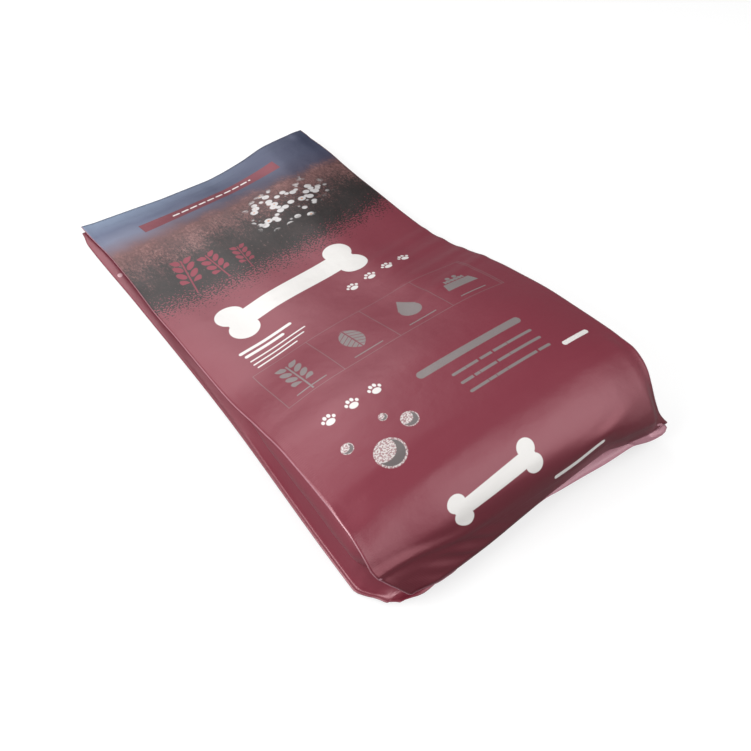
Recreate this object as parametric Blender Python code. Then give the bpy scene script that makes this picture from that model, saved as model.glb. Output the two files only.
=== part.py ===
"""Animal feed bag: a filled side-gusset pouch lying on its back panel.

Four panels of film (front, back and two side gussets folded in along a centre crease) meet in
four pressed edge fins. Both ends are sealed flat. The kibble has slid to the bottom end, so the
bag is thin at its top seal, swells down its length and drops steeply to the bottom flange.
Sizes are in millimetres. X runs across the bag, +Y points to its top seal, +Z is up.
"""

import math

import bmesh
import bpy
from mathutils import Vector

MM = 0.001

# Driving sizes of the film
PANEL_WIDTH = 235.0  # front and back panel, from fin edge to fin edge
GUSSET_DEPTH = 36.0  # how far a folded gusset reaches in from the fin edge
FIN_WIDTH = 7.0  # pressed fin along each of the four long edges
LEAF = 0.8  # thickness of a panel with its gusset ply
TOP_SEAL = 12.0  # sealed band at the top edge
BOTTOM_SEAL = 11.0  # sealed flange at the bottom edge

# Driving sizes of the filled shape, measured along the film from the top edge
EMPTY_LENGTH = 190.0  # slack stretch with little kibble under the film
SLOPE_LENGTH = 155.0  # stretch over which the bag swells to its full height
FULL_LENGTH = 60.0  # stretch at full height
END_LENGTH = 44.0  # bend and steep end face, down to the flange
FULL_HEIGHT = 69.0  # crest of the front panel above the table
CREST_CROWN = 13.0  # how far the front panel bulges above its two edge fins
LEAN = 7.0  # sideways slip of the front panel over the back panel
EAR = 13.5  # how far the left bottom corner is pulled in
SPLAY = 10.5  # how far the back leaf's right bottom corner stands out
CORNER_ROUND = 1.5  # rounding of that corner
TOP_SLIP = 4.5  # how far the back leaf's left top corner lies below the front one

# Driving sizes of the gussets
TOP_GAPE = 3.5  # how far the folded gusset keeps the two leaves apart at a top corner
GUSSET_BOW = 4.0  # outward swell of the gusset's front half where the bag is full
CREASE_DROP = 0.1  # share of the way down that the crease sags there

# Facets along the film in each stretch, and across it
SEAL_RINGS = 2
EMPTY_RINGS = 11
SLOPE_RINGS = 13
FULL_RINGS = 4
END_RINGS = 12
FLANGE_RINGS = 4
MIDDLE_FACETS = 20  # across a panel between the two gusset folds
GUSSET_FACETS = 6  # across each half of a gusset

FILM_COLOUR = (0.20, 0.043, 0.074, 1.0)

EMPTY_END = EMPTY_LENGTH
SLOPE_END = EMPTY_END + SLOPE_LENGTH
END_START = SLOPE_END + FULL_LENGTH
FLANGE_START = END_START + END_LENGTH
BAG_LENGTH = FLANGE_START + BOTTOM_SEAL
END_SPAN = END_LENGTH + BOTTOM_SEAL
HALF_WIDTH = PANEL_WIDTH / 2


def blend(start, end, place):
    """Smooth step from 0 at start to 1 at end."""
    share = min(max((place - start) / (end - start), 0.0), 1.0)
    return share * share * (3 - 2 * share)


def through(knots, place):
    """Smooth curve through (place, value) knots, without overshoot between them."""
    if place <= knots[0][0]:
        return knots[0][1]
    slopes = [0.0]
    for before, here, after in zip(knots, knots[1:], knots[2:]):
        rise_in = (here[1] - before[1]) / (here[0] - before[0])
        rise_out = (after[1] - here[1]) / (after[0] - here[0])
        slopes.append(0.0 if rise_in * rise_out <= 0 else 2 * rise_in * rise_out / (rise_in + rise_out))
    slopes.append(0.0)
    for index, (low, high) in enumerate(zip(knots, knots[1:])):
        if place <= high[0]:
            span = high[0] - low[0]
            t = (place - low[0]) / span
            ease = t * t * (3 - 2 * t)
            lead = span * slopes[index] * t * (1 - t) ** 2
            tail = span * slopes[index + 1] * t * t * (1 - t)
            return low[1] + (high[1] - low[1]) * ease + lead - tail
    return knots[-1][1]


def spread_knots(start, span, knots):
    """Knots whose places are given as shares of a stretch."""
    return [(start + share * span, value) for share, value in knots]


# Height of the front panel's two edge fins from the top edge down. The right one stands higher
# over the slack stretch, and the left one stays low longer.
LEFT_FIN = [
    *spread_knots(0, EMPTY_LENGTH, [(0, 5), (0.1, 4.8), (0.56, 9.5), (0.72, 8.5)]),
    *spread_knots(EMPTY_END, SLOPE_LENGTH, [(0, 15), (0.41, 21), (0.79, 39)]),
    *spread_knots(SLOPE_END, FULL_LENGTH, [(0, 48.5), (0.85, 51.5)]),
]
RIGHT_FIN = [
    *spread_knots(0, EMPTY_LENGTH, [(0, 15), (0.38, 12.4)]),
    *spread_knots(EMPTY_END, SLOPE_LENGTH, [(0, 14.8), (0.25, 22.5), (0.48, 34.6), (0.7, 44.8)]),
    *spread_knots(SLOPE_END, FULL_LENGTH, [(0, 54), (1, 59.5)]),
]
# How far the middle of the front panel stands above the line between the fins.
CROWN = [(0, 0), (0.4 * EMPTY_END, 2), (EMPTY_END, 7), (SLOPE_END, CREST_CROWN)]
# Height of the top edge across the bag, from the left corner at -1 to the right one at 1. It lies
# on the table up to its middle and curls up to its right corner.
TOP_EDGE = [
    (-1, 4.6), (-0.58, 2.9), (-0.3, 1.7), (0.06, 1.7), (0.17, 2.6), (0.4, 7.3), (0.64, 14.3),
    (0.88, 16), (1, 15),
]
# The bottom end of the front panel, on lines from the left fin at -1 to the right one at 1. Each
# has, at shares of the film's stretch, the share of that stretch that it has come along the table
# and its share of the full height. The bend is soft, the end face steep, and the flange droops.
END_SHARES = (0, 0.164, 0.309, 0.455, 0.6, 0.709, 0.8, 1)
END_SHAPE = [
    (-1, (0, 0.155, 0.309, 0.445, 0.555, 0.627, 0.764, 0.982),
     (0.725, 0.717, 0.667, 0.601, 0.514, 0.457, 0.435, 0.348)),
    (-0.8, (0, 0.158, 0.309, 0.449, 0.567, 0.66, 0.76, 0.963),
     (0.823, 0.787, 0.725, 0.638, 0.543, 0.449, 0.362, 0.249)),
    (-0.5, (0, 0.167, 0.331, 0.5, 0.64, 0.72, 0.783, 0.95),
     (0.916, 0.896, 0.83, 0.732, 0.617, 0.493, 0.384, 0.251)),
    (-0.17, (0, 0.167, 0.349, 0.531, 0.691, 0.764, 0.813, 0.922),
     (0.975, 0.957, 0.899, 0.8, 0.674, 0.543, 0.425, 0.293)),
    (0.25, (0, 0.176, 0.367, 0.545, 0.691, 0.767, 0.813, 0.888),
     (1, 0.99, 0.948, 0.855, 0.714, 0.583, 0.457, 0.316)),
    (0.5, (0, 0.182, 0.382, 0.558, 0.704, 0.782, 0.827, 0.869),
     (0.997, 0.991, 0.959, 0.87, 0.728, 0.58, 0.435, 0.313)),
    (0.65, (0, 0.182, 0.382, 0.558, 0.704, 0.791, 0.855, 0.94),
     (0.986, 0.983, 0.955, 0.861, 0.716, 0.565, 0.406, 0.304)),
    (0.88, (0, 0.182, 0.376, 0.549, 0.695, 0.8, 0.885, 1),
     (0.932, 0.928, 0.896, 0.79, 0.641, 0.507, 0.377, 0.283)),
    (1, (0, 0.182, 0.364, 0.509, 0.636, 0.745, 0.845, 1.005),
     (0.862, 0.867, 0.826, 0.732, 0.594, 0.457, 0.355, 0.29)),
]
# The back panel's end: where it leaves the table, how far it hangs below the front one at the
# flange's root, the height of its tip, and how far the tip reaches past the bag's length.
BACK_LIFT = END_START + 0.31 * END_SPAN
ROOT_GAPE = [(-1, 19), (-0.8, 8), (-0.64, 0), (0.66, 0), (0.85, 2), (1, 6)]
BACK_TIP = [
    (-1, 14), (-0.8, 14.5), (-0.5, 15.5), (-0.17, 18.4), (0.1, 19.8), (0.25, 19.8), (0.5, 18.3),
    (0.65, 17), (0.88, 14.5), (1, 14.5),
]
BACK_REACH = [
    (-1, -7.5), (-0.86, -4), (-0.75, -3.4), (-0.4, -4.2), (0.02, -5.6), (0.12, -4.5), (0.31, -2.8),
    (0.49, -1.4), (0.69, -0.4), (0.77, 1.4), (0.87, 3.1), (0.94, 3.8), (0.975, 3), (1, 1.5),
]
# How far the back panel's left fin stands outside its flat place: it slips about as the bag
# settles, and draws in at the bottom corner.
BACK_SLIP = [
    *spread_knots(0, END_START, [(0, 1.5), (0.05, 3.8), (0.3, 0.8), (0.64, -1.7), (1, 1.2)]),
    *spread_knots(END_START, END_SPAN, [(0.35, 1.3), (0.45, -2.5), (0.53, -6), (0.6, -8)]),
    *spread_knots(END_START, END_SPAN, [(0.8, -10.5), (1, -13.5)]),
]
# How far in the gusset crease lies: folded flat at the seals, pushed out where the bag is full.
CREASE = [
    (0, GUSSET_DEPTH), (EMPTY_END, 0.92 * GUSSET_DEPTH), (EMPTY_END + SLOPE_LENGTH / 2, 2.7 * FIN_WIDTH),
    (SLOPE_END, 1.4 * FIN_WIDTH), (END_START + 0.2 * END_SPAN, 1.4 * FIN_WIDTH),
    (FLANGE_START, 0.9 * GUSSET_DEPTH), (BAG_LENGTH, GUSSET_DEPTH),
]


def front_edges(place):
    """X of the front panel's left and right fin edges."""
    lean = LEAN * blend(-TOP_SEAL, 5 * TOP_SEAL, place)
    ear = EAR * blend(END_START + 0.56 * END_SPAN, END_START + 1.07 * END_SPAN, place)
    return -HALF_WIDTH + 0.65 * lean + ear, HALF_WIDTH - 0.5 + 0.7 * lean + 0.05 * ear


def back_edges(place):
    """X of the back panel's left and right fin edges."""
    splay = SPLAY * blend(BACK_LIFT, FLANGE_START, place)
    rounding = CORNER_ROUND * blend(FLANGE_START, BAG_LENGTH, place) ** 2
    return -HALF_WIDTH - through(BACK_SLIP, place), HALF_WIDTH - 0.5 * LEAN + splay - rounding


def across(edges, x):
    """Place of x between two edges, from -1 at the left edge to 1 at the right one."""
    left, right = edges
    return min(max((2 * x - left - right) / (right - left), -1.0), 1.0)


def end_shape(column, side, place):
    """Share along the table (column 1) or of the height (column 2) of the front panel's end."""
    share = (place - END_START) / END_SPAN
    lines = [(line[0], through(list(zip(END_SHARES, line[column])), share)) for line in END_SHAPE]
    return through(lines, side)


def end_along(side, place):
    """How far along the table the front panel's end has come."""
    return END_START + END_SPAN * end_shape(1, side, place)


def end_height(side, place):
    """Height of the front panel's end."""
    return FULL_HEIGHT * end_shape(2, side, place)


def top_gape(x, place):
    """How far the front and back leaves stand apart at the top corners."""
    out = blend(1 - GUSSET_DEPTH / HALF_WIDTH, 1.0, abs(across(back_edges(place), x)))
    return TOP_GAPE * out * (1 - blend(0, EMPTY_END / 2, place))


def panel_height(x, place):
    """Front panel without the film that lies under it."""
    side = across(front_edges(place), x)
    left = through(LEFT_FIN, place)
    right = through(RIGHT_FIN, place)
    height = left + (right - left) * (side + 1) / 2 + through(CROWN, place) * (1 - abs(side) ** 3)
    height += (through(TOP_EDGE, side) - height) * (1 - blend(0, 6 * TOP_SEAL, place))
    return height + (end_height(side, place) - height) * blend(END_START - TOP_SEAL, END_START, place)


def ripple(x, place):
    """Slack folds: a long dent beside the left fin, and a long ridge right of the middle."""
    side = across(front_edges(place), x)
    slack = blend(TOP_SEAL, 0.5 * EMPTY_END, place)
    slack *= 1 - blend(EMPTY_END + 0.4 * SLOPE_LENGTH, SLOPE_END, place)
    dent = -1.8 * slack * (blend(-0.85, -0.6, side) - blend(-0.6, -0.3, side))
    return dent + 1.4 * slack * (blend(0.1, 0.4, side) - blend(0.4, 0.75, side))


def back_end(place):
    """How far the back panel has come: round its rise to the flange, and out along the flange."""
    rise = (place - BACK_LIFT) / (FLANGE_START - BACK_LIFT)
    out = (place - FLANGE_START) / BOTTOM_SEAL
    return min(max(rise, 0.0), 1.0), min(max(out, 0.0), 1.0)


def back_height(x, place):
    """Back panel: flat on the table, its fins just clear of it, and lifted to both seals."""
    side = across(back_edges(place), x)
    on_table = 1.2 * blend(0.86, 1.0, abs(side))
    top_lift = 1 - blend(TOP_SEAL / 2, 5 * TOP_SEAL, place)
    top = max(panel_height(x, 0) - 2 * LEAF - top_gape(x, 0), 0.0) * top_lift
    root = end_height(side, FLANGE_START) - 2 * LEAF - through(ROOT_GAPE, side)
    rise, out = back_end(place)
    lifted = on_table + (root - on_table) * (1 - math.cos(rise * math.pi / 2))
    return lifted + (through(BACK_TIP, side) - root) * out + top


def front_height(x, place):
    """Front panel, never closer to the back panel than the film between them."""
    least = back_height(x, place) + 2 * LEAF + top_gape(x, place)
    return max(panel_height(x, place) + ripple(x, place), least)


def front_along(x, place):
    """How far along the table a point of the front panel lies."""
    return end_along(across(front_edges(place), x), place) if place > END_START else place


def back_along(x, place):
    """How far along the table a point of the back panel lies."""
    side = across(back_edges(place), x)
    if place <= BACK_LIFT:
        return place + TOP_SLIP * blend(0.6, 1.0, -side) * (1 - blend(0, 5 * TOP_SEAL, place))
    root = end_along(side, FLANGE_START) - LEAF
    rise, out = back_end(place)
    along = BACK_LIFT + (root - BACK_LIFT) * math.sin(rise * math.pi / 2)
    return along + (BAG_LENGTH + through(BACK_REACH, side) - root) * out


def spread(start, end, count):
    """Places from start to end in count equal steps, without the first."""
    return [start + (end - start) * step / count for step in range(1, count + 1)]


def panel_places(left, right):
    """X of a panel's points: fin, gusset fold, middle, gusset fold, fin."""
    places = [left, left + FIN_WIDTH]
    places += spread(left + FIN_WIDTH, left + GUSSET_DEPTH, GUSSET_FACETS)
    places += spread(left + GUSSET_DEPTH, right - GUSSET_DEPTH, MIDDLE_FACETS)
    places += spread(right - GUSSET_DEPTH, right - FIN_WIDTH, GUSSET_FACETS)
    return places + [right]


def gusset_points(side, place):
    """One gusset from the front fin edge, round the crease, to the back fin edge."""
    edge_front = front_edges(place)[side > 0]
    edge_back = back_edges(place)[side > 0]
    root_front = edge_front - side * FIN_WIDTH
    root_back = edge_back - side * FIN_WIDTH
    crease_x = edge_front - side * through(CREASE, place)
    crease_z = (front_height(crease_x, place) + back_height(crease_x, place)) / 2
    root_top = front_height(root_front, place) - LEAF
    root_bottom = back_height(root_back, place) + LEAF
    full = blend(EMPTY_END, SLOPE_END, place) * (1 - blend(END_START, FLANGE_START, place))
    crease_z += full * CREASE_DROP * (root_bottom - crease_z)

    points = [(edge_front, front_height(edge_front, place) - LEAF, 0.0)]
    for step in range(GUSSET_FACETS + 1):
        t = step / GUSSET_FACETS
        bow = side * full * GUSSET_BOW * 4 * t * (1 - t)
        x = root_front + (crease_x - root_front) * t + bow
        middle = (front_height(x, place) + back_height(x, place)) / 2
        z = min(root_top + (crease_z - root_top) * t, front_height(x, place) - LEAF)
        points.append((x, z if full > 0.02 else max(z, middle), t / 2))
    for step in range(1, GUSSET_FACETS + 1):
        t = step / GUSSET_FACETS
        x = crease_x + (root_back - crease_x) * t
        middle = (front_height(x, place) + back_height(x, place)) / 2
        z = max(crease_z + (root_bottom - crease_z) * t, back_height(x, place) + LEAF)
        points.append((x, z if full > 0.02 else min(z, middle), 0.5 + t / 2))
    points.append((edge_back, back_height(edge_back, place) + LEAF, 1.0))
    return [(x, -front_along(x, place) * (1 - t) - back_along(x, place) * t, z) for x, z, t in points]


def ring(place):
    """One closed line round the bag, as points clockwise when seen from the top seal."""
    front = [(x, -front_along(x, place), front_height(x, place)) for x in panel_places(*front_edges(place))]
    back = [(x, -back_along(x, place), back_height(x, place)) for x in panel_places(*back_edges(place))]
    return front + gusset_points(1, place) + back[::-1] + gusset_points(-1, place)[::-1]


def ring_places():
    """Where the rings stand along the film, closer together on the bottom end."""
    places = [0.0]
    for end, count in [
        (TOP_SEAL, SEAL_RINGS), (EMPTY_END, EMPTY_RINGS), (SLOPE_END, SLOPE_RINGS),
        (END_START, FULL_RINGS), (FLANGE_START, END_RINGS), (BAG_LENGTH, FLANGE_RINGS),
    ]:
        places += spread(places[-1], end, count)
    return places


def close_end(bm, loop, flipped):
    """Close an end: a strip of film edge round each leaf and across the sealed middle."""
    across_count = 2 + 2 * GUSSET_FACETS + MIDDLE_FACETS
    gusset_count = 2 * GUSSET_FACETS + 3
    front = loop[: across_count + 1]
    right = loop[across_count + 1 : across_count + 1 + gusset_count]
    back = loop[across_count + 1 + gusset_count : 2 * across_count + 2 + gusset_count][::-1]
    left = loop[2 * across_count + 2 + gusset_count :][::-1]
    leaf = GUSSET_FACETS + 1
    faces = []

    def strip(upper, lower):
        for a, b, c, d in zip(upper, upper[1:], lower[1:], lower):
            faces.append((a, b, c, d))

    strip(front[: leaf + 1], left[: leaf + 1])
    strip(left[leaf:][::-1], back[: leaf + 1])
    faces.append((front[leaf], left[leaf], back[leaf])[::-1])
    strip(front[leaf : across_count - leaf + 1], back[leaf : across_count - leaf + 1])
    faces.append((front[across_count - leaf], right[leaf], back[across_count - leaf]))
    strip(front[across_count - leaf :], right[: leaf + 1][::-1])
    strip(right[leaf:], back[across_count - leaf :])
    for face in faces:
        bm.faces.new(face if flipped else face[::-1])


def feed_bag_mesh():
    """The bag as one closed skin lofted through its rings."""
    bm = bmesh.new()
    loops = [[bm.verts.new(Vector(point) * MM) for point in ring(place)] for place in ring_places()]
    for upper, lower in zip(loops, loops[1:]):
        count = len(upper)
        for index in range(count):
            following = (index + 1) % count
            bm.faces.new((upper[index], upper[following], lower[following], lower[index])[::-1])
    close_end(bm, loops[0], flipped=False)
    close_end(bm, loops[-1], flipped=True)
    bmesh.ops.triangulate(bm, faces=bm.faces)
    bmesh.ops.recalc_face_normals(bm, faces=bm.faces)
    stand_on_origin(bm)
    mesh = bpy.data.meshes.new("feed_bag")
    bm.to_mesh(mesh)
    bm.free()
    return mesh


def stand_on_origin(bm):
    """Move the bag so that the middle of its footprint is at the origin, on the table."""
    low = Vector(min(vert.co[axis] for vert in bm.verts) for axis in range(3))
    high = Vector(max(vert.co[axis] for vert in bm.verts) for axis in range(3))
    middle = (low + high) / 2
    bmesh.ops.translate(bm, verts=bm.verts, vec=(-middle.x, -middle.y, -low.z))


def film_material():
    """Satin maroon printed film."""
    material = bpy.data.materials.new("maroon_film")
    material.use_nodes = True
    shader = material.node_tree.nodes["Principled BSDF"]
    shader.inputs["Base Color"].default_value = FILM_COLOUR
    shader.inputs["Roughness"].default_value = 0.42
    shader.inputs["Metallic"].default_value = 0.0
    return material


def build():
    for old in list(bpy.data.objects):
        bpy.data.objects.remove(old)
    collection = bpy.data.collections.new("animal_feed_bag")
    bpy.context.scene.collection.children.link(collection)
    bag = bpy.data.objects.new("feed_bag", feed_bag_mesh())
    bag.data.shade_smooth()
    bag.data.materials.append(film_material())
    collection.objects.link(bag)


build()
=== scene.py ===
"""Animal feed bag lying on its back panel, dressed in printed satin film.

The bag is made as it is in the factory: four films, a front panel, a back panel and two folded
side gussets, each bent from a flat sheet to the shape that the kibble gives it. Shapes are worked
out in millimetres from the top edge, and placed in the frame in metres at the end.
"""

import math

import bmesh
import bpy
import numpy as np
from mathutils import Matrix, Vector


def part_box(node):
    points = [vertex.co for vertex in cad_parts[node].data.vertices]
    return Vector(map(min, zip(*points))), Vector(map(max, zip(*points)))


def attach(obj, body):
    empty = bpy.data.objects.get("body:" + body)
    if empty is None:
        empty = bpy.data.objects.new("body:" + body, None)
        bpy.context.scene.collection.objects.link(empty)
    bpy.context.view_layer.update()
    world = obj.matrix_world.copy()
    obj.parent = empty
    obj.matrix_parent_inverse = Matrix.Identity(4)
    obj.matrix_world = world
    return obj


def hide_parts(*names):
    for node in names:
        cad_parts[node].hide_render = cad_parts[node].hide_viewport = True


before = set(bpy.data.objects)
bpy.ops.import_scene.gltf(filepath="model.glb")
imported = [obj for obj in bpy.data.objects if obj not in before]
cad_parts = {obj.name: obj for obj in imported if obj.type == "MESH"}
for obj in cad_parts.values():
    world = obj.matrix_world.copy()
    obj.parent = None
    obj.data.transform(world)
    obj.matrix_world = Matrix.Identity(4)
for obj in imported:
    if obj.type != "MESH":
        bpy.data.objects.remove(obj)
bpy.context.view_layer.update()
BAG_LOW, BAG_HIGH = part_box("feed_bag")

MM = 0.001

# The film
PANEL_WIDTH = 235.0
GUSSET_DEPTH = 36.0
FIN_WIDTH = 7.0
GUSSET_FIN = 2.5  # how far the kibble leaves the gusset pressed to a panel
FILM = 0.3  # thickness of one ply
LEAF = 0.45  # a panel with half of what lies under it
TUCK = 0.7  # from a panel's face to the face of the gusset ply behind it
TOP_SEAL = 12.0
RIB_PITCH = 1.6
RIB_HEIGHT = 0.014
INNER_RIB_HEIGHT = 0.03
WELD_PLACE = 76.0
FIN_LIFT = 1.2  # how far the back panel's fins clear the table

# Stretches of the filled bag, along the table from the top edge
EMPTY_END = 190.0
SLOPE_END = 345.0
BEND_START = 408.0
FULL_END = 417.0
FLANGE_START = 449.0
BAG_LENGTH = 460.0
HALF_WIDTH = PANEL_WIDTH / 2
LEFT_LEAN = 4.55  # how far the slack film's edges have slipped to the right
RIGHT_LEAN = 4.9
BACK_LEAN = 3.5
EAR = 18.5  # how far the left bottom corner is pulled in
SPLAY = 10.5  # how far the back leaf's right bottom corner stands out
CORNER_ROUND = 1.5
CORNER_WAIST = 4.5  # how far the front leaf's right edge is drawn in above its corner
TOP_SLIP = 4.5  # how far the back leaf's left top corner lies below the front one
TOP_GAPE = 3.5
GUSSET_BOW = 5.0
GUSSET_WORN = 0.85  # how pale the right gusset's inner half is at its foot

# Facets of each film, across and along
FRONT_FACETS = (132, 290)
BACK_FACETS = (60, 145)
GUSSET_FACETS = (44, 290)

# Colours as they show in plain light; the crease and foot maroons hold painted shade
MAROON = (0.195, 0.022, 0.041)
MAROON_WORN = (0.185, 0.022, 0.040)
# Painted shade: the dark of a gusset's crease, where the fold lies in shadow
CREASE_SHADE_MAROON = (0.11, 0.011, 0.020)
# Painted shade: the dark red of the bottom end's foot, where it stands in shadow
FOOT_SHADE_MAROON = (0.09, 0.008, 0.014)
STRIPE = (0.155, 0.020, 0.036)
SILVER = (0.70, 0.685, 0.665)
GREY_INK = (0.215, 0.19, 0.188)
CUT_EDGE = (0.50, 0.25, 0.29)
INNER_PLY = (0.46, 0.22, 0.27)
METALLISED = 0.15  # the inks are thin over a metallised ply
DARK_METALLISED = 0.42  # the same under the picture and under the painted shade on the foot


def blend(start, end, place):
    """Smooth step from 0 at start to 1 at end."""
    share = np.clip((np.asarray(place, float) - start) / (end - start), 0.0, 1.0)
    return share * share * (3 - 2 * share)


def bump(centre, reach, place):
    """Smooth hump of height 1 at centre, gone at reach on both sides."""
    return blend(centre - reach, centre, place) * (1 - blend(centre, centre + reach, place))


def through(knots, place):
    """Smooth curve through (place, value) knots, without overshoot between them."""
    place = np.asarray(place, float)
    at = np.array([knot[0] for knot in knots], float)
    value = np.stack([np.broadcast_to(np.asarray(knot[1], float), place.shape) for knot in knots])
    width = np.diff(at).reshape((-1,) + (1,) * place.ndim)
    rise = np.diff(value, axis=0) / width
    turn = rise[:-1] * rise[1:]
    total = np.where(turn > 0, rise[:-1] + rise[1:], 1.0)
    level = np.zeros((1,) + place.shape)
    slope = np.concatenate([level, np.where(turn > 0, 2 * turn / total, 0.0), level])
    place = np.clip(place, at[0], at[-1])
    index = np.clip(np.searchsorted(at, place, side="right") - 1, 0, len(at) - 2)
    span = at[index + 1] - at[index]
    t = (place - at[index]) / span

    def pick(values, shift=0):
        return np.take_along_axis(values, (index + shift)[None], axis=0)[0]

    low, high = pick(value), pick(value, 1)
    lead = span * pick(slope) * t * (1 - t) ** 2
    tail = span * pick(slope, 1) * t * t * (1 - t)
    return low + (high - low) * t * t * (3 - 2 * t) + lead - tail


# Height of the front panel's two fin edges, and how far its middle stands above them
LEFT_FIN = [
    (0, 5), (TOP_SEAL + 8, 4.8), (106, 9.5), (137, 8.5), (EMPTY_END, 15), (254, 21), (313, 39),
    (SLOPE_END, 48.5), (396, 51.5), (FULL_END, 49),
]
RIGHT_FIN = [
    (0, 15), (72, 12.4), (EMPTY_END, 14.8), (228, 22.5), (264, 34.6), (298, 44.8),
    (SLOPE_END, 54), (FULL_END, 60),
]
CROWN = [(0, 0), (76, 2), (EMPTY_END, 7), (SLOPE_END, 13), (FULL_END, 13)]
TOP_EDGE = [
    (-1, 4.6), (-0.58, 2.9), (-0.3, 1.5), (0.06, 1.5), (0.17, 2.6), (0.4, 7.3), (0.64, 14.3),
    (0.88, 16), (1, 15),
]

# The bottom end of the front panel: at places along the film, how far along the table it lies and
# how high, on lines from the left fin at -1 to the right one at 1. The bend is soft, the end face
# steep, and the sealed flange stands out at its foot.
END_PLACES = (405, 414, 422, 430, 438, 444, 449, BAG_LENGTH)
END_SHAPE = [
    (-1, (405, 413.5, 422, 429.5, 435.8, 441.5, 446.2, 452.9),
     (50, 49.5, 46, 41.5, 35.8, 30.5, 25.5, 15)),
    (-0.8, (405, 413.7, 422, 429.7, 436.4, 441.8, 446.8, 456.2),
     (56.8, 54.3, 50, 44.2, 38, 32, 26, 14.5)),
    (-0.5, (405, 414.2, 423.2, 432.7, 440.8, 446, 449.4, 455.4),
     (63.2, 61.8, 57.5, 51, 43.5, 35.2, 27.5, 13.6)),
    (-0.17, (405, 414.2, 424.4, 434.8, 444, 449, 451.6, 454.3),
     (67.3, 66, 62.2, 55.8, 47.5, 38.5, 30, 17.1)),
    (0.25, (405, 415, 426, 437, 447, 452.8, 454, 452.9),
     (69, 67.8, 64.7, 59.3, 52, 42.5, 32.5, 20.6)),
    (0.5, (405, 415, 426.5, 437.5, 448, 454, 455, 452.5),
     (68.8, 67.8, 64.5, 59.3, 52.8, 46.5, 38, 21.1)),
    (0.65, (405, 415, 426.5, 438, 448.5, 455.3, 458, 456.3),
     (68, 67.1, 63.9, 58.7, 52.3, 45.5, 37.5, 20.5)),
    (0.88, (405, 415, 426.5, 438, 448.5, 456.5, 460, 459.4),
     (64.3, 63.4, 60, 54.6, 47.6, 39.5, 32.5, 18.8)),
    (1, (405, 415, 425, 433.7, 441.3, 447.7, 453.2, 460.3),
     (59.5, 59.8, 57.2, 52.6, 45, 36.5, 29.5, 20)),
]
# The back panel's end: where it leaves the table, how far it hangs below the front one and stands
# behind it at the flange's root, the height of its tip, and how far the tip reaches past the bag's
# length. Then how far its left edge slips, and how deep the gusset's crease lies.
BACK_LIFT = 422.0
ROOT_GAPE = [
    (-1, 19), (-0.8, 12), (-0.5, 12), (-0.17, 11.5), (0.25, 11.5), (0.5, 17), (0.88, 15), (1, 13),
]
ROOT_SET_BACK = [(-1, 0), (-0.7, 1), (-0.3, 3), (0.25, 3.2), (0.5, 5), (0.88, 5), (1, 3)]
BACK_TIP = [
    (-1, 14), (-0.86, 13), (-0.75, 11.8), (-0.5, 11.8), (-0.17, 15.8), (0.1, 19), (0.25, 19.2),
    (0.5, 18.8), (0.68, 19), (0.88, 14.5), (1, 14.5),
]
BACK_REACH = [
    (-1, -7.5), (-0.86, -4), (-0.7, -6), (-0.4, -6.5), (0.02, -6.2), (0.12, -4.9), (0.31, -3.1),
    (0.49, -1.4), (0.69, -0.4), (0.77, 1.4), (0.87, 3.1), (0.94, 3.8), (0.975, 3), (1, 1.5),
]
BACK_SLIP = [
    (0, 1.5), (TOP_SEAL + 8, 3.8), (121, 0.8), (259, -1.7), (405, 1.2), (424, 1.3), (430, -2.5),
    (434, -6), (438, -8), (FLANGE_START, -10.5), (BAG_LENGTH, -13.5),
]
CREASE = [
    (0, GUSSET_DEPTH), (EMPTY_END, GUSSET_DEPTH - 3), (270, 15), (SLOPE_END, 3.5), (FULL_END, 2.5),
    (FLANGE_START, GUSSET_DEPTH - 4), (BAG_LENGTH, GUSSET_DEPTH),
]


def front_edges(place):
    """X of the front panel's left and right fin edges."""
    lean = blend(-TOP_SEAL, 5 * TOP_SEAL, place)
    ear = EAR * blend(436, BAG_LENGTH + 4, place)
    drawn_in = blend(416, FLANGE_START, place) * (1 - blend(FLANGE_START, BAG_LENGTH, place))
    left = -HALF_WIDTH + LEFT_LEAN * lean + ear
    right = HALF_WIDTH - 0.5 + RIGHT_LEAN * lean + 0.05 * ear - CORNER_WAIST * drawn_in
    return left, right


def back_edges(place):
    """X of the back panel's left and right fin edges."""
    splay = SPLAY * blend(BACK_LIFT, FLANGE_START, place)
    rounding = CORNER_ROUND * blend(FLANGE_START, BAG_LENGTH, place) ** 2
    return -HALF_WIDTH - through(BACK_SLIP, place), HALF_WIDTH - BACK_LEAN + splay - rounding


def across(edges, x):
    """Place of x between two edges, from -1 at the left edge to 1 at the right one."""
    left, right = edges
    return np.clip((2 * x - left - right) / (right - left), -1.0, 1.0)


def end_shape(column, side, place):
    """Distance along the table (column 1) or height (column 2) of the front panel's bottom end."""
    place = np.broadcast_to(np.asarray(place, float), np.shape(side))
    lines = [(line[0], through(list(zip(END_PLACES, line[column])), place)) for line in END_SHAPE]
    return through(lines, side)


def top_gape(x, place):
    """How far the leaves stand apart at the top corners."""
    out = blend(1 - GUSSET_DEPTH / HALF_WIDTH, 1.0, np.abs(across(back_edges(place), x)))
    return TOP_GAPE * out * (1 - blend(0, EMPTY_END / 2, place))


def panel_height(x, place):
    """Front panel as the kibble and the seals hold it, before its fine folds."""
    side = across(front_edges(place), x)
    left = through(LEFT_FIN, place)
    right = through(RIGHT_FIN, place)
    height = left + (right - left) * (side + 1) / 2
    height += through(CROWN, place) * (1 - np.abs(side) ** 3)
    height += (through(TOP_EDGE, side) - height) * (1 - blend(0, 6 * TOP_SEAL, place))
    return height + (end_shape(2, side, place) - height) * blend(BEND_START - 16, BEND_START, place)


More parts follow.
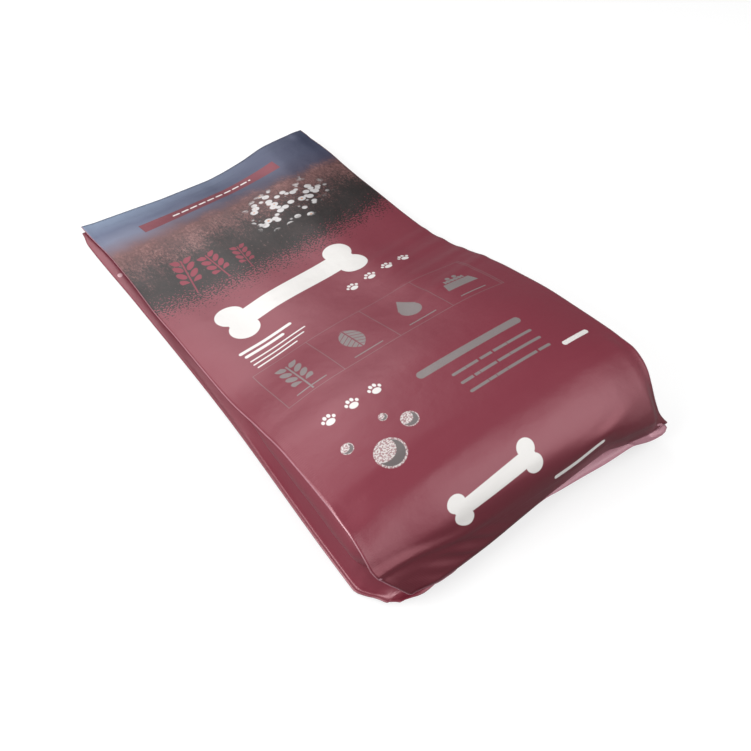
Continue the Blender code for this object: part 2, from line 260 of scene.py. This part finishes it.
def folds(x, place):
    """Slack folds of the front panel."""
    side = across(front_edges(place), x)
    slack = blend(TOP_SEAL, 95, place) * (1 - blend(250, SLOPE_END, place))
    long_dent = -1.8 * slack * bump(-0.6, 0.28, side)
    long_ridge = 1.4 * slack * bump(0.42, 0.33, side)
    cross = sum(
        0.8 * bump(start + 26 * (1 - side), 9, place) * blend(0.05, 0.6, side)
        for start in (196, 218, 243, 268)
    )
    left = -1.1 * bump(-0.78, 0.16, side) * bump(300, 60, place)
    left += 0.7 * bump(-0.5, 0.22, side) * bump(285, 55, place)
    buckle = 0.45 * np.sin(x / 15 + place / 31) * np.sin(place / 19 - x / 40)
    buckle *= blend(20, 120, place) * (1 - blend(330, 400, place))
    streaks = 0.4 * np.sin((place + 0.15 * x) / 1.4) * bump(0.62, 0.25, side) * bump(440, 9, place)
    return long_dent + long_ridge + cross + left + buckle + streaks


def end_creases(x, place):
    """How far the creases of the end face stand out from it."""
    side = across(front_edges(place), x)
    line = 440.5 + 4.5 * blend(-1, -0.5, side)
    ridge = 1.5 * bump(line, 3.6, place) * (1 - blend(-0.6, 0.0, side))
    pleats = 1.1 * np.sin((place - 0.35 * x) / 1.15)
    return ridge + pleats * bump(-0.58, 0.4, side) * bump(452.5, 7, place)


def back_end(place):
    """How far the back panel has come: round its rise to the flange, and out along the flange."""
    rise = np.clip((place - BACK_LIFT) / (FLANGE_START - BACK_LIFT), 0.0, 1.0)
    return rise, np.clip((place - FLANGE_START) / (BAG_LENGTH - FLANGE_START), 0.0, 1.0)


def back_height(x, place):
    """Back panel: flat on the table, its fins just clear of it, and lifted to both seals."""
    side = across(back_edges(place), x)
    on_table = FIN_LIFT * blend(0.86, 1.0, np.abs(side))
    top_lift = 1 - blend(TOP_SEAL * 0.5, TOP_SEAL + 48, place)
    top = panel_height(x, 0) - 2 * LEAF - top_gape(x, 0)
    root = end_shape(2, side, FLANGE_START) - through(ROOT_GAPE, side)
    rise, out = back_end(place)
    bottom = (root - on_table) * (1 - np.cos(rise * math.pi / 2))
    bottom += (through(BACK_TIP, side) - root) * out
    return on_table + np.maximum(top, 0) * top_lift + bottom


def front_height(x, place):
    """Front panel, never closer to the back panel than the film between them."""
    least = back_height(x, place) + 2 * LEAF + top_gape(x, place)
    return np.maximum(panel_height(x, place) + folds(x, place), least)


def front_along(x, place):
    """How far along the table a point of the front panel lies."""
    side = across(front_edges(place), x)
    bent = blend(BEND_START - 8, BEND_START, place)
    along = place + (end_shape(1, side, place) - place) * bent
    return along + end_creases(x, place)


def back_along(x, place):
    """How far along the table a point of the back panel lies."""
    side = across(back_edges(place), x)
    root = end_shape(1, side, FLANGE_START) - LEAF - through(ROOT_SET_BACK, side)
    tip = BAG_LENGTH + through(BACK_REACH, side)
    rise, out = back_end(place)
    slipped = place + TOP_SLIP * blend(0.6, 1.0, -side) * (1 - blend(0, 5 * TOP_SEAL, place))
    along = np.where(rise > 0, BACK_LIFT + (root - BACK_LIFT) * np.sin(rise * math.pi / 2), slipped)
    return along + (tip - root) * out


# Film length from the top edge, by the place that each piece of film comes to lie at
_places = np.linspace(0, BAG_LENGTH, 921)
_rise = np.hypot(np.diff(front_along(0.0, _places)), np.diff(front_height(0.0, _places)))
_lengths = np.concatenate([[0], np.cumsum(_rise)])
FILM_LENGTH = float(_lengths[-1])


def place_of(down):
    """Place along the table of a share of the film's length."""
    return np.interp(down * FILM_LENGTH, _lengths, _places)


def front_panel(share, down):
    """Where a point of the front panel's flat film comes to lie, in millimetres."""
    place = place_of(down)
    left, right = front_edges(place)
    x = left + share * (right - left)
    return x, -front_along(x, place), front_height(x, place)


def back_panel(share, down):
    """Where a point of the back panel's flat film comes to lie."""
    place = place_of(down)
    left, right = back_edges(place)
    x = left + share * (right - left)
    return x, -back_along(x, place), back_height(x, place)


def gusset(side, share, down):
    """A folded side film: front fin, front half, crease, back half, back fin."""
    place = place_of(down)
    edge_front = front_edges(place)[side > 0]
    edge_back = back_edges(place)[side > 0]
    root_front = edge_front - side * GUSSET_FIN
    root_back = edge_back - side * GUSSET_FIN
    crease_x = edge_front - side * through(CREASE, place)
    crease_z = (front_height(crease_x, place) + back_height(crease_x, place)) / 2
    root_top = front_height(root_front, place) - TUCK
    root_bottom = back_height(root_back, place) + TUCK
    full = blend(EMPTY_END, SLOPE_END, place) * (1 - blend(FULL_END, FLANGE_START, place))
    wave = 1.1 * np.sin(place / 6.5) + 0.9 * np.sin(place / 11.0 + 1.0)
    crease_z = crease_z + full * (0.2 * (root_bottom - crease_z) + wave)

    fin = GUSSET_FIN / (2 * GUSSET_DEPTH)
    before = np.clip((share - fin) / (0.5 - fin), 0, 1)
    after = np.clip((share - 0.5) / (0.5 - fin), 0, 1)
    bow = side * full * GUSSET_BOW * 4 * before * (1 - before)
    x_front = root_front + (crease_x - root_front) * before + bow
    x_back = crease_x + (root_back - crease_x) * after
    z_front = root_top + (crease_z - root_top) * before
    z_front = np.minimum(z_front, front_height(x_front, place) - TUCK)
    z_back = crease_z + (root_bottom - crease_z) * after
    z_back = np.maximum(z_back, back_height(x_back, place) + TUCK)
    x = np.where(share < 0.5, x_front, x_back)
    z = np.where(share < 0.5, z_front, z_back)

    on_front = share < fin
    on_back = share > 1 - fin
    x = np.where(on_front, edge_front + (root_front - edge_front) * share / fin, x)
    x = np.where(on_back, root_back + (edge_back - root_back) * (share - 1 + fin) / fin, x)
    z = np.where(on_front, front_height(x, place) - TUCK, z)
    z = np.where(on_back, back_height(x, place) + TUCK, z)
    front_y = front_along(x, place)
    along = front_y + (back_along(x, place) - front_y) * blend(0.4, 0.6, share)
    if side > 0:
        covered = z > front_height(x, BAG_LENGTH) - TUCK
        along = np.where(covered, np.minimum(along, front_along(x, BAG_LENGTH) - TUCK), along)
    return x, -along, z


class Value:
    """A number that changes over a surface. Python's arithmetic on it adds Math nodes."""

    def __init__(self, shop, socket):
        self.shop = shop
        self.socket = socket

    def math(self, operation, *others, **settings):
        return self.shop.node("Math", *((self,) + others), operation=operation, **settings)

    def __add__(self, other):
        return self.math("ADD", other)

    def __sub__(self, other):
        return self.math("SUBTRACT", other)

    def __mul__(self, other):
        return self.math("MULTIPLY", other)

    def __truediv__(self, other):
        return self.math("DIVIDE", other)

    def __rsub__(self, other):
        return self.shop.node("Math", other, self, operation="SUBTRACT")

    def __neg__(self):
        return self * -1.0

    def __abs__(self):
        return self.math("ABSOLUTE")

    __radd__ = __add__
    __rmul__ = __mul__


class Shop:
    """The nodes of one material."""

    def __init__(self, name):
        self.material = bpy.data.materials.new(name)
        self.material.use_nodes = True
        self.tree = self.material.node_tree
        self.shader = self.tree.nodes["Principled BSDF"]

    def node(self, kind, *values, output=0, ramp=None, **settings):
        """Adds a node. values fill its sockets in order, and named sockets go in a dict."""
        made = self.tree.nodes.new("ShaderNode" + kind)
        for key, value in settings.items():
            setattr(made, key, value)
        if ramp:
            stops = made.color_ramp.elements
            for index, (position, colour) in enumerate(ramp):
                stop = stops[index] if index < 2 else stops.new(position)
                stop.position = position
                stop.color = (*colour, 1)
        pairs = []
        for index, value in enumerate(values):
            pairs += value.items() if isinstance(value, dict) else [(index, value)]
        for key, value in pairs:
            self.fill(made.inputs[key], value)
        return Value(self, made.outputs[output])

    def fill(self, socket, value):
        if isinstance(value, Value):
            self.tree.links.new(value.socket, socket)
        elif isinstance(value, tuple) and len(value) == 3 and socket.type == "RGBA":
            socket.default_value = (*value, 1)
        else:
            socket.default_value = value

    def mix(self, factor, first, second):
        """Colour that goes from first to second as factor goes from 0 to 1."""
        made = self.tree.nodes.new("ShaderNodeMix")
        made.data_type = "RGBA"
        for name, value in zip(("Factor_Float", "A_Color", "B_Color"), (factor, first, second)):
            socket = next(s for s in made.inputs if s.identifier == name)
            self.fill(socket, value)
        return Value(self, next(s for s in made.outputs if s.identifier == "Result_Color"))

    def noise(self, vector, size, detail=2.0, rough=0.5, output="Fac"):
        """Noise from about 0 to 1 with blotches of this size, in the vector's units."""
        return self.node(
            "TexNoise", {"Vector": vector, "Scale": 1 / size, "Detail": detail, "Roughness": rough},
            output=output,
        )

    def vector(self, x, y, z=0.0):
        return self.node("CombineXYZ", x, y, z)

    def finish(self, **sockets):
        for name, value in sockets.items():
            self.fill(self.shader.inputs[name.replace("_", " ")], value)
        return self.material


def lesser(a, b):
    return a.math("MINIMUM", b)


def greater(a, b):
    return a.math("MAXIMUM", b)


def distance(x, y):
    """Length of (x, y)."""
    return (x * x + y * y).math("SQRT")


def filled(edge, soft=0.5):
    """1 where a shape's signed distance in millimetres is below 0, and 0 outside."""
    return (0.5 - edge / soft).math("ADD", 0.0, use_clamp=True)


def ribs(value):
    """Fine ribs, from -1 to 1, at the pitch of the heat-seal jaws."""
    return (value * (2 * math.pi / RIB_PITCH)).math("SINE")


def step(start, end, value):
    """Smooth step of a value from 0 at start to 1 at end."""
    return value.shop.node(
        "MapRange", value, start, end, 0.0, 1.0, interpolation_type="SMOOTHSTEP"
    )


def turned(x, y, centre, degrees):
    """Coordinates from a centre, turned."""
    c, s = math.cos(math.radians(degrees)), math.sin(math.radians(degrees))
    dx, dy = x - centre[0], y - centre[1]
    return dx * c + dy * s, dy * c - dx * s


def capsule(x, y, half, radius):
    """Bar with round ends along x."""
    return distance(greater(abs(x) - half, 0.0), y) - radius


def box(x, y, half_x, half_y):
    return greater(abs(x) - half_x, abs(y) - half_y)


def bone(x, y, size):
    """Bone silhouette of half length size."""
    shaft = capsule(x, y, 0.78 * size, 0.155 * size)
    knobs = distance(abs(x) - 0.82 * size, abs(y) - 0.16 * size) - 0.185 * size
    return lesser(shaft, knobs)


def paw(x, y, size):
    """Paw print of half width size, toes towards -y."""
    pad = distance(x * 0.8, y - 0.32 * size) - 0.42 * size
    inner = distance(abs(x) - 0.25 * size, (y + 0.52 * size) * 0.72) - 0.2 * size
    outer = distance(abs(x) - 0.68 * size, (y + 0.12 * size) * 0.75) - 0.18 * size
    return lesser(lesser(pad, inner), outer)


def leaf(x, y, size):
    """Leaf along y with a bare midrib and side veins."""
    blade = distance(abs(x) + 0.62 * size, y) - 1.18 * size
    vein = abs((y - abs(x) * 0.7).math("PINGPONG", 0.16 * size)) - 0.025 * size
    rib = abs(x) - 0.035 * size
    return greater(blade, -lesser(rib, vein))


def drop(x, y, size):
    """Drop with its tip towards -y."""
    round_part = distance(x, y - 0.35 * size) - 0.6 * size
    tip = greater(abs(x) * 0.86 - (y + 0.95 * size) * 0.5, y - 0.05 * size)
    return lesser(round_part, tip)


def wheat(x, y, size):
    """Ear of wheat along y: paired grains up a stem."""
    row = (y + 4 * size).math("MODULO", 0.42 * size) - 0.21 * size
    side = abs(x) - 0.25 * size
    along, over = side * 0.62 - row * 0.78, side * 0.78 + row * 0.62
    grain = distance(along * 0.55, over) - 0.13 * size
    grains = greater(grain, abs(y + 0.25 * size) - 0.72 * size)
    return lesser(grains, box(x, y - 0.1 * size, 0.03 * size, 1.0 * size))


def bowl(x, y, size):
    """Bowl heaped with round kibble."""
    slant = abs(x) - 0.85 * size + (y - 0.3 * size) * -0.25
    sides = greater(slant, abs(y - 0.45 * size) - 0.32 * size)
    heap = distance((x.math("PINGPONG", 0.24 * size) - 0.12 * size), y + 0.05 * size) - 0.13 * size
    heap = greater(heap, abs(x) - 0.62 * size)
    top = distance(abs(x) - 0.22 * size, y + 0.3 * size) - 0.13 * size
    return lesser(sides, lesser(heap, top))


def landscape(shop, across_mm, down_mm):
    """Dusk sky over a heath, and how much of it is printed at each place."""
    where = shop.vector(across_mm, down_mm)
    broad = shop.noise(where, 60, 3)
    sky = shop.node(
        "ValToRGB",
        down_mm / 62 + (broad - 0.5) * 0.5,
        ramp=[
            (0.0, (0.15, 0.20, 0.29)), (0.3, (0.085, 0.105, 0.18)),
            (0.55, (0.15, 0.165, 0.24)), (0.8, (0.16, 0.11, 0.14)), (1.0, (0.20, 0.095, 0.095)),
        ],
    )
    sky = shop.mix(0.2 + step(30, 200, across_mm) * 0.7, sky, (0.028, 0.033, 0.075))
    grain = shop.noise(shop.vector(across_mm, down_mm * 0.45), 2.2, 6, 0.72)
    clumps = shop.noise(where, 20, 5, 0.62)
    heath = shop.node(
        "ValToRGB",
        grain * 1.1 + clumps * 0.8 - 0.44,
        ramp=[
            (0.25, (0.010, 0.005, 0.006)), (0.42, (0.045, 0.018, 0.018)),
            (0.56, (0.13, 0.055, 0.053)), (0.78, (0.32, 0.16, 0.145)),
        ],
    )
    haze = step(135, 48, down_mm + clumps * 26)
    heath = shop.mix(haze * 0.55, heath, (0.185, 0.078, 0.075))
    horizon = step(46, 66, down_mm + (clumps - 0.5) * 26 + (grain - 0.5) * 14)
    picture = shop.mix(horizon, sky, heath)
    picture = shop.mix(step(60, 125, down_mm) * 0.6, picture, (0.014, 0.006, 0.007))
    tufts = shop.noise(shop.vector(across_mm, down_mm * 0.12), 9, 3)
    lace = shop.noise(shop.vector(across_mm, down_mm * 0.5), 1.7, 6, 0.75)
    reach = lace + (down_mm - 128 + tufts * 75) * 0.0045
    picture = shop.mix(step(0.49, 0.55, reach) * 0.85, picture, (0.012, 0.009, 0.009))
    seed_heads = step(0.62, 0.70, grain) * step(60, 90, down_mm)
    picture = shop.mix(seed_heads * 0.5, picture, (0.36, 0.21, 0.19))
    picture = flowers(shop, across_mm, down_mm, picture, clumps)
    for sprig in ((42, 120, 22, 8), (66, 126, 19, -6), (90, 131, 16, 4)):
        shape = wheat(*turned(across_mm, down_mm, sprig[:2], sprig[3]), sprig[2])
        picture = shop.mix(filled(shape), picture, MAROON)
    border = 158 - (across_mm - 105) * (across_mm - 105) * 0.0011
    ragged = shop.noise(where, 1.7, 2, 0.6)
    edge = down_mm - border + (shop.noise(where, 16, 3) - 0.5) * 20 + (ragged - 0.5) * 110
    return picture, step(4, -4, edge)


def flowers(shop, across_mm, down_mm, picture, clumps):
    """A clump of white flowers with orange hearts on the right of the heath."""
    x, y = turned(across_mm, down_mm, (158, 92), -8)
    patch = distance(x * 0.62, y) - 27 + (clumps - 0.5) * 40
    cells = shop.tree.nodes.new("ShaderNodeTexVoronoi")
    shop.fill(cells.inputs["Vector"], shop.vector(across_mm, down_mm * 1.15))
    cells.inputs["Scale"].default_value = 1 / 8.0
    cells.inputs["Randomness"].default_value = 0.9
    reach = Value(shop, cells.outputs["Distance"])
    petals = step(0.52, 0.42, reach) * step(2, -6, patch)
    picture = shop.mix(petals * 0.9, picture, (0.62, 0.60, 0.60))
    hearts = step(0.19, 0.13, reach) * step(2, -6, patch)
    return shop.mix(hearts * 0.9, picture, (0.50, 0.20, 0.07))


def icons(shop, across_mm, down_mm):
    """Silver and grey inks over the maroon: how much of each is printed at each place."""
    big = turned(across_mm, down_mm, (98, 197), -5)
    small = turned(across_mm, down_mm, (92, 452), -6)
    silver = lesser(bone(*big, 66), bone(*small, 34))

    trail_x, trail_y = turned(across_mm, down_mm, (160, 229), -5)
    step_x = (trail_x + 36).math("MODULO", 18.0) - 9
    trail = greater(paw(step_x, trail_y, 6.2), abs(trail_x) - 36)
    walk_x, walk_y = turned(across_mm, down_mm, (52, 352), 0)
    walk_step = (walk_x + 27).math("MODULO", 18.0) - 9
    walk = greater(paw(walk_step, walk_y, 6.0), abs(walk_x) - 27)
    silver = lesser(silver, lesser(trail, walk))

    for x, y, half, thick in (
        (152, 472, 20, 1.7), (50, 236, 22, 1.5), (46, 242, 16, 1.5), (54, 248.5, 24, 0.7),
        (52, 253.5, 22, 0.7), (48, 258.5, 17, 0.7), (205, 398, 11, 1.9),
    ):
        silver = lesser(silver, capsule(*turned(across_mm, down_mm, (x, y), -3), half, thick))
    dash_x, dash_y = turned(across_mm, down_mm, (112, 33), -1.5)
    dash = capsule((dash_x + 42).math("MODULO", 9.0) - 4.5, dash_y, 2.6, 1.0)
    silver = lesser(silver, greater(dash, abs(dash_x) - 42))

    grey = wheat(across_mm - 44, down_mm - 295, 20)
    grey = lesser(grey, leaf(across_mm - 92, down_mm - 292, 15))
    grey = lesser(grey, drop(across_mm - 141, down_mm - 292, 14))
    grey = lesser(grey, bowl(across_mm - 188, down_mm - 290, 15))

    lines = box(across_mm - 118, down_mm - 292, 95, 27)
    frame_lines = abs(lines) - 0.28
    bars = greater(abs((across_mm - 21).math("PINGPONG", 23.75)) - 0.28, lines)
    ruled = lesser(frame_lines, bars)

    row = (down_mm - 371).math("MODULO", 9.0) - 4.5
    line_number = (down_mm / 9.0).math("FLOOR")
    gaps = shop.noise(shop.vector(across_mm, line_number * 40), 4.0, 1) - 0.62
    words = greater(capsule(across_mm - 150, row, 34, 1.15), abs(down_mm - 384.5) - 13.5)
    words = greater(words, gaps * 8)
    captions = greater(abs(across_mm - 118) - 88, abs(down_mm - 313.5) - 0.55)
    captions = greater(captions, abs((across_mm - 21).math("MODULO", 47.5) - 23.75) - 12)
    grey = lesser(grey, captions)
    heading = capsule(across_mm - 142, down_mm - 362, 42, 3.2)
    grey = lesser(grey, lesser(words, heading))
    return filled(silver), filled(grey), filled(ruled, 0.4)


def kibble(shop, across_mm, down_mm):
    """Round kibble drawings: how much, their speckle, and the shade on their lower side."""
    discs, shades = None, None
    for x, y, size in ((48, 398, 10.5), (72, 386, 6.0), (30, 378, 4.2), (60, 374, 3.0)):
        disc = distance(across_mm - x, down_mm - y) - size
        lit = distance(across_mm - x + 0.3 * size, down_mm - y + 0.45 * size)
        dark = greater(disc + 0.12 * size, 0.85 * size - lit)
        discs = disc if discs is None else lesser(discs, disc)
        shades = dark if shades is None else lesser(shades, dark)
    speckle = step(0.47, 0.53, shop.noise(shop.vector(across_mm, down_mm), 1.3, 2, 0.6))
    return filled(discs), speckle, filled(shades)


def film_surface(shop, across_mm, down_mm, width):
    """Roughness and relief of satin film with its pressed, ribbed seals."""
    where = shop.vector(across_mm, down_mm)
    edge = lesser(across_mm, width - across_mm)
    fin = step(FIN_WIDTH + 0.5, FIN_WIDTH - 0.5, edge)
    ends = lesser(down_mm, FILM_LENGTH - down_mm)
    seal = step(TOP_SEAL + 0.5, TOP_SEAL - 0.5, ends)
    ribs_along = ribs(down_mm) * fin * (1 - seal)
    ribs_across = ribs(across_mm) * seal
    pressed = step(FIN_WIDTH + 2.0, FIN_WIDTH - 2.0, edge) * -0.08 + seal * -0.06
    soft = (shop.noise(where, 14, 3) - 0.5) * 0.35
    fine = (shop.noise(where, 0.9, 2) - 0.5) * 0.012
    height = (ribs_along + ribs_across) * RIB_HEIGHT + pressed + soft + fine
    relief = shop.node("Bump", {"Strength": 1.0, "Distance": MM, "Height": height}, output="Normal")
    rough = 0.40 + (shop.noise(where, 25, 3) - 0.5) * 0.10
    shop.shader.inputs["Specular IOR Level"].default_value = 0.75
    return relief, rough


def film_coordinates(shop, width):
    """Millimetres across a film from its left edge and down it from the top edge."""
    place = shop.node("UVMap", uv_map="film")
    parts = shop.tree.nodes.new("ShaderNodeSeparateXYZ")
    shop.fill(parts.inputs[0], place)
    return Value(shop, parts.outputs[0]) * width, (1 - Value(shop, parts.outputs[1])) * FILM_LENGTH


def printed_film():
    """Front panel: heath picture over maroon, silver and grey inks, with painted shade on the foot
    of its bottom end.
    """
    shop = Shop("printed_film")
    across_mm, down_mm = film_coordinates(shop, PANEL_WIDTH)
    where = shop.vector(across_mm, down_mm)
    base = shop.mix(shop.noise(where, 80, 2) * 0.25, MAROON, MAROON_WORN)
    picture, printed = landscape(shop, across_mm, down_mm)
    colour = shop.mix(printed, base, picture)
    stripe_x, stripe_y = turned(across_mm, down_mm, (112, 33), -1.5)
    stripe = box(stripe_x, stripe_y, 72, 6.5)
    colour = shop.mix(filled(stripe), colour, STRIPE)
    colour = shop.mix(filled(abs(stripe) - 0.2, 0.4) * 0.5, colour, (0.09, 0.03, 0.045))
    silver, grey, ruled = icons(shop, across_mm, down_mm)
    worn = step(0.30, 0.42, shop.noise(where, 1.1, 3, 0.7))
    colour = shop.mix(ruled * 0.45, colour, GREY_INK)
    colour = shop.mix(grey * (0.75 + worn * 0.2), colour, GREY_INK)
    discs, speckle, shade = kibble(shop, across_mm, down_mm)
    colour = shop.mix(discs * (0.25 + speckle * 0.55), colour, SILVER)
    colour = shop.mix(shade, colour, (0.13, 0.11, 0.11))
    colour = shop.mix(silver * 0.97, colour, SILVER)
    edge = lesser(across_mm, PANEL_WIDTH - across_mm)
    cut = step(0.8, 0.4, lesser(edge, FILM_LENGTH - down_mm))
    colour = shop.mix(cut * 0.6, colour, CUT_EDGE)
    relief, rough = film_surface(shop, across_mm, down_mm, PANEL_WIDTH)
    rough = rough - silver * 0.06
    # Painted shade: the foot of the bottom end is darkened towards a deep red maroon where it lies
    # in shadow
    foot = step(FILM_LENGTH - 46, FILM_LENGTH - 22, down_mm)
    colour = shop.mix(foot * (1 - silver) * 0.5, colour, FOOT_SHADE_MAROON)
    dark = greater(printed, foot)
    metal = (1 - silver) * (METALLISED + dark * (DARK_METALLISED - METALLISED))
    return shop.finish(Base_Color=colour, Roughness=rough, Metallic=metal, Normal=relief)


def plain_film(name, width, worn_foot=0.0):
    """Bare maroon film, darkened with painted shade along a gusset's crease, and worn pale by so
    much at its foot.
    """
    shop = Shop(name)
    across_mm, down_mm = film_coordinates(shop, width)
    where = shop.vector(across_mm, down_mm)
    colour = shop.mix(shop.noise(where, 60, 2) * 0.3, MAROON, MAROON_WORN)
    if width < PANEL_WIDTH:
        # Painted shade: the film is darkened along the gusset's fold, where the crease lies in
        # shadow
        crease = step(5, 0, abs(across_mm - GUSSET_DEPTH)) * step(150, 260, down_mm)
        colour = shop.mix(crease * 0.6, colour, CREASE_SHADE_MAROON)
    if worn_foot:
        foot = step(FILM_LENGTH - 34, FILM_LENGTH - 16, down_mm) * step(33, 38, across_mm)
        colour = shop.mix(foot * worn_foot, colour, INNER_PLY)
    relief, rough = film_surface(shop, across_mm, down_mm, width)
    return shop.finish(Base_Color=colour, Roughness=rough, Metallic=METALLISED, Normal=relief)


def cut_edge():
    """The laminate where it is cut: pale, with its plies just showing."""
    shop = Shop("cut_edge")
    where = shop.node("TexCoord", output="Object")
    colour = shop.mix(shop.noise(where, 0.004, 2), CUT_EDGE, (0.70, 0.48, 0.50))
    return shop.finish(Base_Color=colour, Roughness=0.5)


def inner_ply():
    """Bare inside of the film, pale over its metallised ply."""
    shop = Shop("inner_ply")
    across_mm, down_mm = film_coordinates(shop, PANEL_WIDTH)
    tone = shop.noise(shop.vector(across_mm, down_mm), 12, 3)
    height = ribs(across_mm) * INNER_RIB_HEIGHT
    relief = shop.node("Bump", {"Strength": 1.0, "Distance": MM, "Height": height}, output="Normal")
    colour = shop.mix(tone * 0.5, INNER_PLY, (0.38, 0.16, 0.20))
    return shop.finish(Base_Color=colour, Roughness=0.35, Normal=relief)


def film_sheet(name, facets, shape, materials, faces_up):
    """A flat film bent to shape, with its thickness behind it and a cut edge."""
    bm = bmesh.new()
    bm.loops.layers.uv.new("film")
    bmesh.ops.create_grid(bm, x_segments=facets[0], y_segments=facets[1], size=0.5, calc_uvs=True)
    flat = np.array([vert.co for vert in bm.verts])
    x, y, z = shape(flat[:, 0] + 0.5, 0.5 - flat[:, 1])
    for vert, place in zip(bm.verts, np.stack([x, y, z], axis=1) * MM):
        vert.co = place
    if not faces_up:
        bmesh.ops.reverse_faces(bm, faces=bm.faces)
    mesh = bpy.data.meshes.new(name)
    bm.to_mesh(mesh)
    bm.free()
    mesh.shade_smooth()
    for material in materials:
        mesh.materials.append(material)
    piece = bpy.data.objects.new(name, mesh)
    bpy.context.scene.collection.objects.link(piece)
    plies = piece.modifiers.new("film thickness", "SOLIDIFY")
    plies.thickness = FILM * MM
    plies.offset = -1
    plies.material_offset_rim = 1
    plies.material_offset = 2
    return piece


def weld_spot(name, side, material):
    """Flat oval heat-weld that pins the front leaf to the back leaf beside the gusset."""
    x = front_edges(WELD_PLACE)[0] - 1.6 if side < 0 else back_edges(WELD_PLACE)[1] - 3.0
    z = back_height(x, WELD_PLACE) + TUCK + 0.2
    bm = bmesh.new()
    bmesh.ops.create_uvsphere(bm, u_segments=24, v_segments=12, radius=1)
    bmesh.ops.scale(bm, verts=bm.verts, vec=(2.4, 2.9, 0.5))
    bmesh.ops.translate(bm, verts=bm.verts, vec=(x, -WELD_PLACE, z))
    bmesh.ops.scale(bm, verts=bm.verts, vec=(MM, MM, MM))
    mesh = bpy.data.meshes.new(name)
    bm.to_mesh(mesh)
    bm.free()
    mesh.shade_smooth()
    mesh.materials.append(material)
    piece = bpy.data.objects.new(name, mesh)
    bpy.context.scene.collection.objects.link(piece)
    return piece


def dress_bag():
    """All the films and welds, set in the frame."""
    edge = cut_edge()
    inside = inner_ply()
    front = printed_film()
    back = plain_film("back_film", PANEL_WIDTH)
    left_film = plain_film("left_gusset_film", 2 * GUSSET_DEPTH)
    right_film = plain_film("right_gusset_film", 2 * GUSSET_DEPTH, GUSSET_WORN)
    pieces = [
        film_sheet("front_panel", FRONT_FACETS, front_panel, (front, edge, inside), True),
        film_sheet("back_panel", BACK_FACETS, back_panel, (back, back, inside), False),
    ]
    for side, word, film in ((-1, "left", left_film), (1, "right", right_film)):
        def bent(share, down, side=side):
            return gusset(side, share, down)

        materials = (film, film, inside)
        pieces.append(film_sheet(f"{word}_gusset", GUSSET_FACETS, bent, materials, side > 0))
        pieces.append(weld_spot(f"{word}_weld_spot", side, edge))
    settle(pieces)
    for piece in pieces:
        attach(piece, "root")
        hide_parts("feed_bag")
    return pieces


def settle(pieces):
    """Moves the films from the top edge's middle to the place that the frame gives the bag."""
    front = next(piece for piece in pieces if piece.name == "front_panel")
    ends = [vert.co for piece in pieces for vert in piece.data.vertices]
    middle = (min(co.x for co in ends) + max(co.x for co in ends)) / 2
    top = max(vert.co.y for vert in front.data.vertices)
    move = Vector(((BAG_LOW.x + BAG_HIGH.x) / 2 - middle, BAG_HIGH.y - top, 0))
    for piece in pieces:
        piece.data.transform(Matrix.Translation(move))


def studio():
    """White floor, and softboxes overhead, in front, on the left, low on the right and behind."""
    shop = Shop("white_floor")
    seen = shop.node("LightPath", output="Is Camera Ray")
    shop.shader.inputs["Specular IOR Level"].default_value = 0.0
    shop.shader.inputs["Emission Strength"].default_value = 1.0
    white = shop.mix(seen, (0.3, 0.3, 0.3), (0.42, 0.42, 0.42))
    glow = shop.mix(seen, (0.0, 0.0, 0.0), (0.6, 0.6, 0.6))
    shop.finish(Base_Color=white, Roughness=0.9, Emission_Color=glow)
    bm = bmesh.new()
    bmesh.ops.create_grid(bm, x_segments=1, y_segments=1, size=6)
    mesh = bpy.data.meshes.new("floor")
    bm.to_mesh(mesh)
    bm.free()
    mesh.materials.append(shop.material)
    floor = bpy.data.objects.new("floor", mesh)
    bpy.context.scene.collection.objects.link(floor)

    world = bpy.context.scene.world or bpy.data.worlds.new("studio")
    bpy.context.scene.world = world
    world.use_nodes = True
    background = world.node_tree.nodes["Background"]
    background.inputs[0].default_value = (1, 1, 1, 1)
    background.inputs[1].default_value = 0.22

    for name, place, wide, high, power in (
        ("overhead_softbox", (0.0, 0.1, 1.3), 2.0, 2.0, 2.0),
        ("front_softbox", (0.42, -0.85, 0.82), 1.5, 0.8, 10.0),
        ("left_softbox", (-1.1, 0.1, 0.60), 0.8, 0.8, 15.0),
        ("low_softbox", (0.95, -0.8, 0.2), 0.7, 0.3, 0.8),
        ("back_softbox", (-0.1, 1.2, 1.05), 1.4, 1.0, 12.0),
    ):
        lamp = bpy.data.lights.new(name, "AREA")
        lamp.shape = "RECTANGLE"
        lamp.size = wide
        lamp.size_y = high
        lamp.energy = power
        light = bpy.data.objects.new(name, lamp)
        light.location = place
        away = Vector(place) - Vector((0, -0.05, 0.03))
        light.rotation_euler = away.to_track_quat("Z", "Y").to_euler()
        bpy.context.scene.collection.objects.link(light)


def camera():
    """Camera at the photograph's place, above the bag's bottom left corner."""
    tilt = math.radians(49.82)
    heading = math.radians(36.32)
    level = math.cos(tilt)
    ahead = Vector((math.sin(heading) * level, math.cos(heading) * level, -math.sin(tilt)))
    right = Vector((math.cos(heading), -math.sin(heading), 0))
    up = right.cross(ahead)
    data = bpy.data.cameras.new("camera")
    data.sensor_fit = "HORIZONTAL"
    data.sensor_width = 36
    data.lens = 36.9
    eye = bpy.data.objects.new("camera", data)
    turn = Matrix((right, up, -ahead)).transposed().to_4x4()
    eye.matrix_world = Matrix.Translation((-0.2301, -0.3656, 0.4472)) @ turn
    bpy.context.scene.collection.objects.link(eye)
    bpy.context.scene.camera = eye
    bpy.context.scene.view_settings.view_transform = "Standard"


dress_bag()
studio()
camera()
